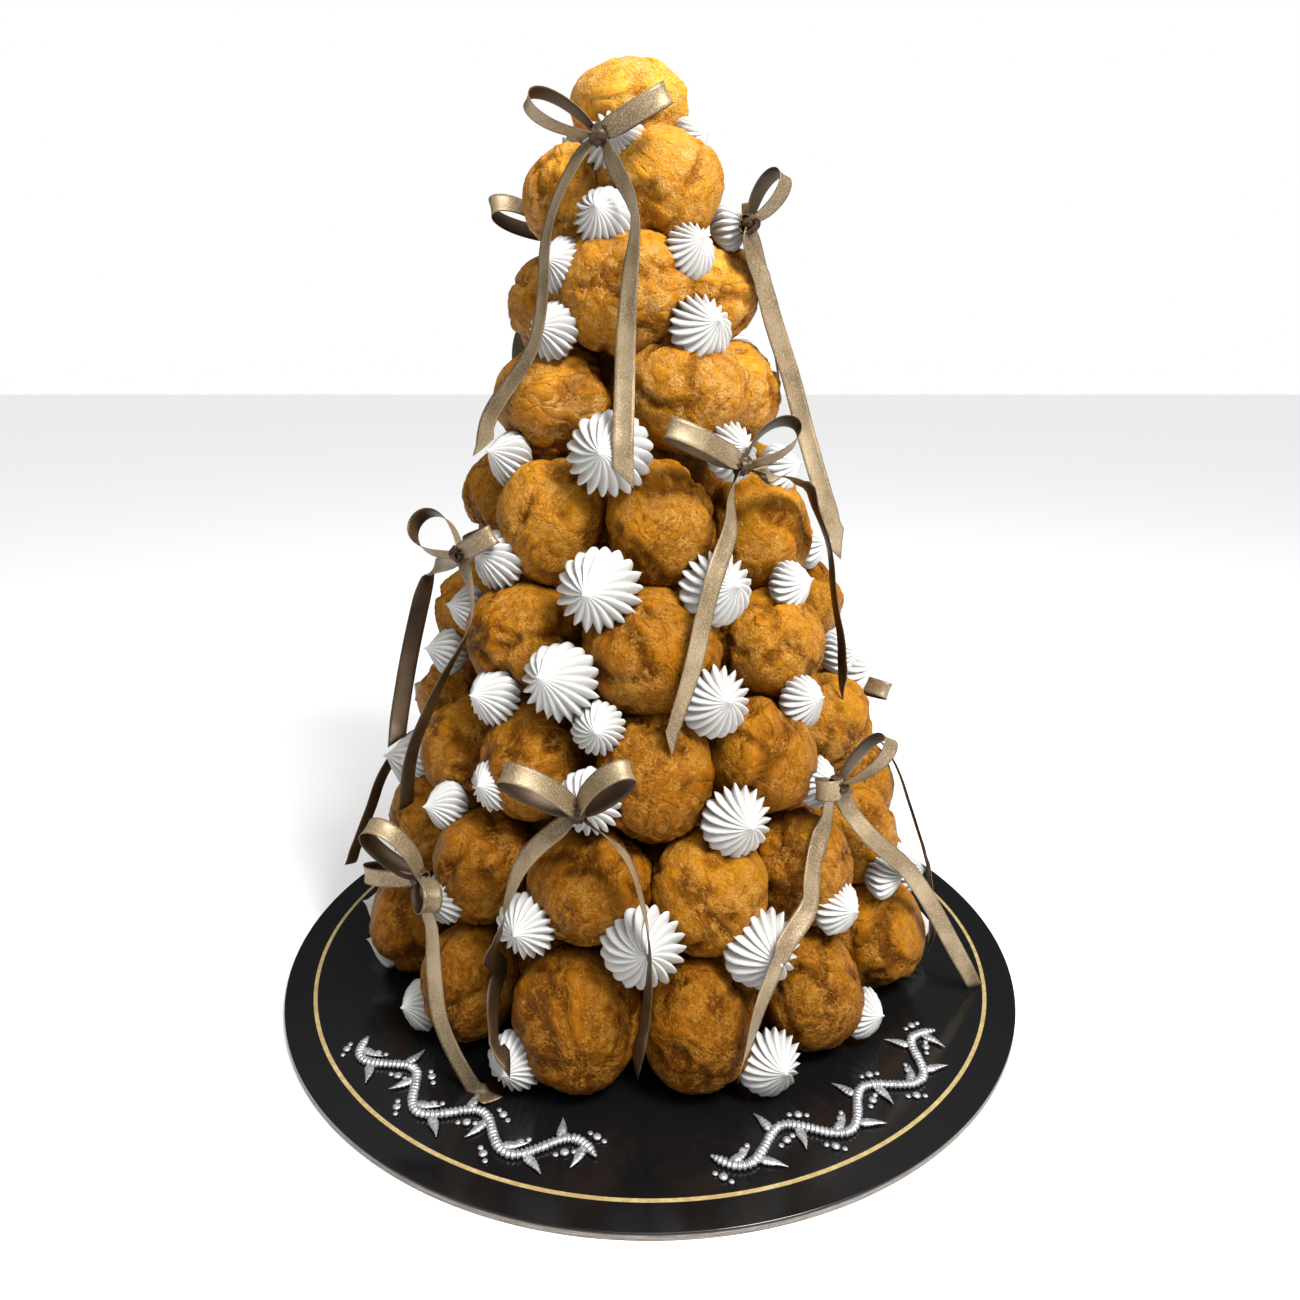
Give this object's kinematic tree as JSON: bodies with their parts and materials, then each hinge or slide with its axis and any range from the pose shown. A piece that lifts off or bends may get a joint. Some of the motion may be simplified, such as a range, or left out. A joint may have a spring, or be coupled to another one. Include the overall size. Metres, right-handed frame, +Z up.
{
  "type": "croquembouche",
  "caption": "Cone-shaped tower of baked choux puffs with piped cream rosettes and tied ribbon bows, standing on a flat round cake board.",
  "frame": {"origin": "the middle of the board's underside", "axes": "+Z up along the tower, -Y the front with the piped stems, +X to the right seen from the front"},
  "size_m": [0.406, 0.406, 0.4644],
  "materials": {
    "crust": "golden brown baked choux crust, ridged and cracked, with a soft gloss",
    "pale_crust": "the lighter golden crust of the upper tiers",
    "cream": "white piped cream, smooth and a little glossy",
    "satin_ribbon": "champagne brown satin ribbon with a stitched edge",
    "board_gloss": "gloss black laminate",
    "silver_icing": "pearly silver piped icing"
  },
  "bodies": {
    "root": {"board": "board_gloss", "piped_stem_left": "silver_icing", "piped_stem_right": "silver_icing", "puff_tier_1": "crust", "puff_tier_2": "crust", "puff_tier_3": "crust", "puff_tier_4": "crust", "puff_tier_5": "crust", "puff_tier_6": "pale_crust", "puff_tier_7": "pale_crust", "puff_tier_8": "pale_crust", "puff_tier_9": "pale_crust", "cream_level_1": "cream", "cream_level_2": "cream", "cream_level_3": "cream", "cream_level_4": "cream", "cream_level_5": "cream", "cream_level_6": "cream", "cream_level_7": "cream", "cream_level_8": "cream", "cream_level_9": "cream", "ribbon_bow_1": "satin_ribbon", "ribbon_bow_2": "satin_ribbon", "ribbon_bow_3": "satin_ribbon", "ribbon_bow_4": "satin_ribbon", "ribbon_bow_5": "satin_ribbon", "ribbon_bow_6": "satin_ribbon", "ribbon_bow_7": "satin_ribbon", "ribbon_bow_8": "satin_ribbon", "ribbon_bow_9": "satin_ribbon", "ribbon_bow_10": "satin_ribbon", "ribbon_bow_11": "satin_ribbon", "ribbon_bow_12": "satin_ribbon"}
  },
  "joints": []
}
